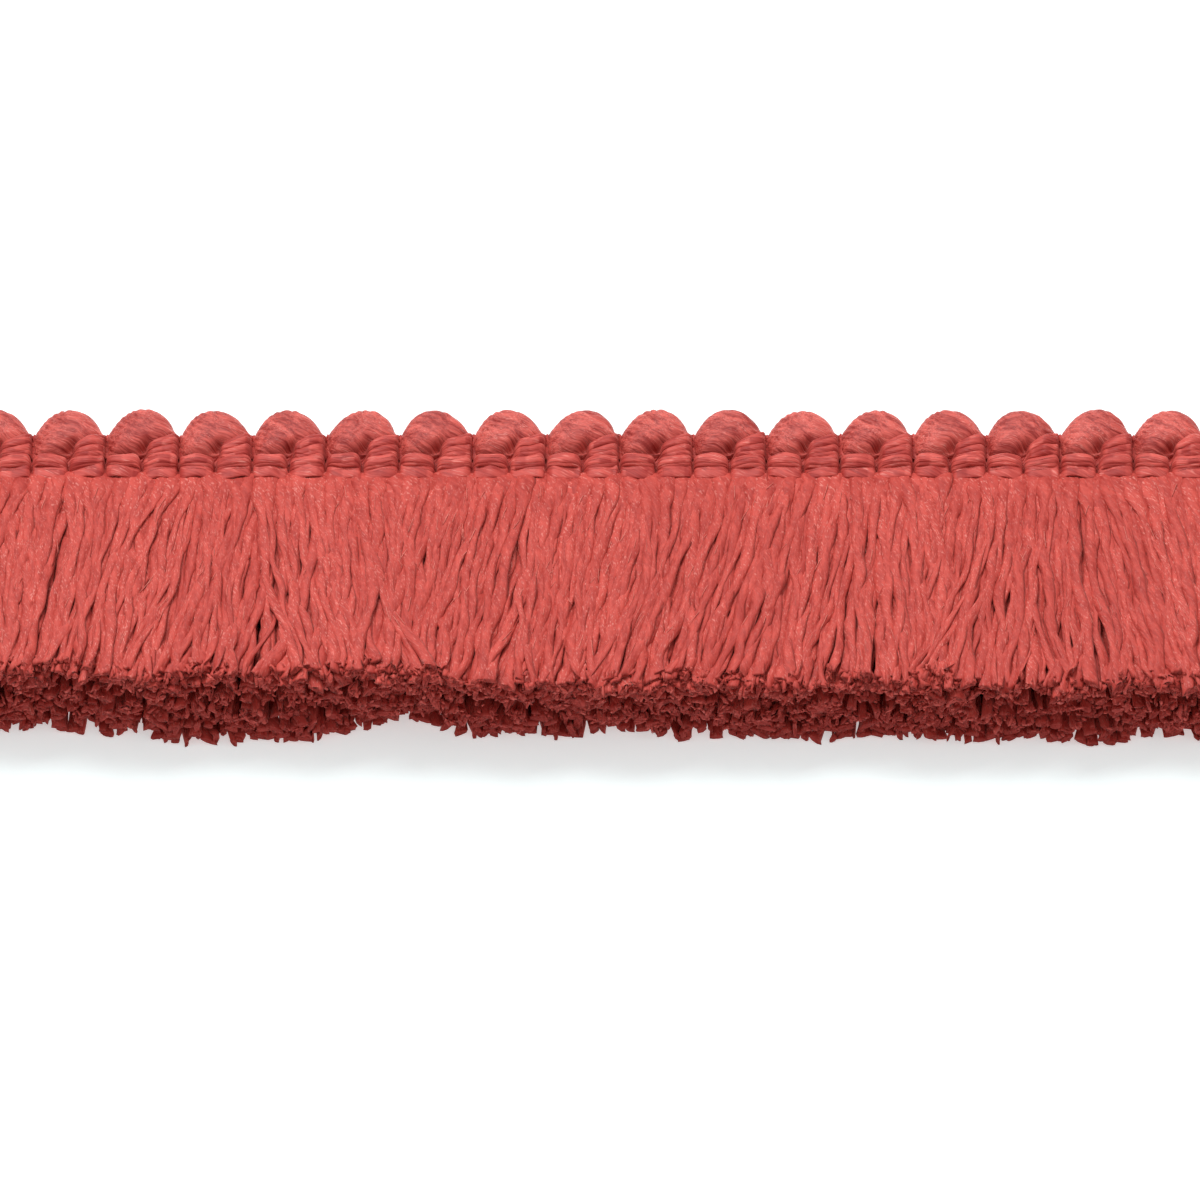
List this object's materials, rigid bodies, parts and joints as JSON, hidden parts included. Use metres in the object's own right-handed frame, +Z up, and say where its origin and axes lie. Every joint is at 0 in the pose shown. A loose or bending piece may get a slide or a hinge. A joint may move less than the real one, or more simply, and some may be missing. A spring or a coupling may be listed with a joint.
{
  "type": "brush fringe trim",
  "caption": "Cut length of brush fringe trim: a narrow woven heading edged with a scalloped cord, and a thick skirt of cut yarn, lying flat on its back.",
  "frame": {"origin": "middle of the trim's footprint, on the surface that it lies on", "axes": "+X along the trim, +Y from the cut skirt towards the scallops, +Z up from the surface"},
  "size_m": [0.1264, 0.039, 0.0093],
  "materials": {
    "heading_yarn": "soft satin coral yarn, tightly woven",
    "scallop_yarn": "soft satin coral cord, twisted",
    "skirt_yarn": "matt coral yarn, cut ends"
  },
  "bodies": {
    "root": {"ground_tape": "heading_yarn", "scallop_cord": "scallop_yarn", "warp_lower": "heading_yarn", "warp_middle": "heading_yarn", "warp_upper": "heading_yarn", "skirt_bottom": "skirt_yarn", "skirt_lower": "skirt_yarn", "skirt_upper": "skirt_yarn", "skirt_top": "skirt_yarn"}
  },
  "joints": []
}
